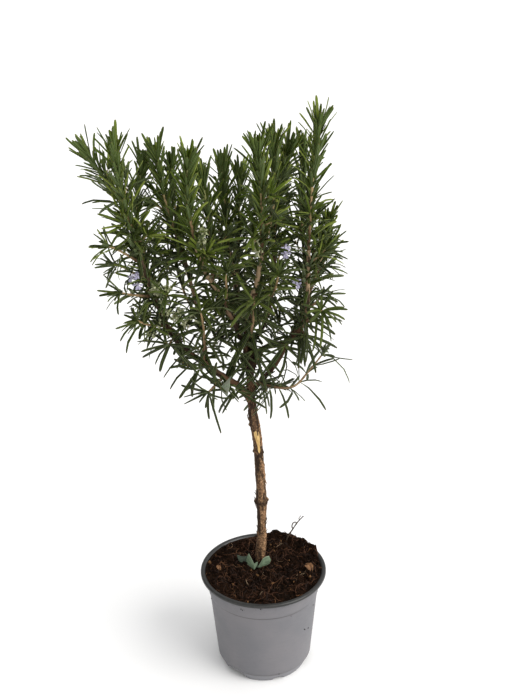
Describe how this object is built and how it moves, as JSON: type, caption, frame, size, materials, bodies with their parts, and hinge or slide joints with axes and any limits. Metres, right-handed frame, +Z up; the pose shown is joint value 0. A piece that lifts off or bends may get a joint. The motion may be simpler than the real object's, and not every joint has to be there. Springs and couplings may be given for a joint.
{
  "type": "potted rosemary plant",
  "caption": "Rosemary trained as a small tree: bare woody trunk under an upright crown of needle-leaved shoots, in a round grey nursery pot of peat soil.",
  "frame": {"origin": "centre of the pot's flat base, where it stands", "axes": "+Z up along the pot's axis, -Y towards the front, +X to the right seen from the front"},
  "size_m": [0.2401, 0.1658, 0.5882],
  "materials": {
    "pot_plastic": "satin thermoformed plastic, mid grey outside and charcoal inside",
    "peat": "moist fibrous peat, dark brown",
    "bark": "thin flaking brown bark",
    "leaf": "leathery dark green needle leaves, pale below",
    "petal": "thin pale lilac petals",
    "bud": "downy pale green buds",
    "pale_leaf": "matt grey-green leaf",
    "twig_bark": "dry thin twig",
    "bark_chip": "coarse tan bark"
  },
  "bodies": {
    "root": {"pot": "pot_plastic", "soil": "peat", "trunk": "bark", "left_branch": "bark", "left_back_branch": "bark", "centre_left_branch": "bark", "centre_branch": "bark", "right_branch": "bark", "low_right_branch": "bark", "back_branch": "bark", "back_right_branch": "bark", "shoot_left": "leaf", "shoot_far_left": "leaf", "shoot_left_inner": "leaf", "shoot_left_back": "leaf", "shoot_left_behind": "leaf", "shoot_centre_left": "leaf", "shoot_inner_left": "leaf", "shoot_centre": "leaf", "shoot_centre_right": "leaf", "shoot_right": "leaf", "shoot_right_behind": "leaf", "shoot_far_right": "leaf", "shoot_far_right_back": "leaf", "shoot_back": "leaf", "shoot_back_inner": "leaf", "shoot_back_right": "leaf", "shoot_back_low_left": "leaf", "shoot_back_low_right": "leaf", "shoot_back_low": "leaf", "shoot_left_low_back": "leaf", "shoot_side_1": "leaf", "shoot_side_2": "leaf", "shoot_side_3": "leaf", "shoot_side_4": "leaf", "shoot_low_left": "leaf", "shoot_front_centre": "leaf", "shoot_front_left": "leaf", "shoot_front_high": "leaf", "shoot_front_right": "leaf", "shoot_right_low": "leaf", "shoot_right_out": "leaf", "shoot_low_right": "leaf", "flower_left": "petal", "flower_centre": "petal", "flower_right": "petal", "buds_left": "bud", "buds_low_left": "bud", "buds_centre_left": "bud", "buds_centre": "bud", "fallen_leaf_left": "pale_leaf", "fallen_leaf_right": "pale_leaf", "broad_leaf": "pale_leaf", "dry_twig": "twig_bark", "bark_chip_right": "bark_chip", "bark_chip_left": "bark_chip"}
  },
  "joints": []
}
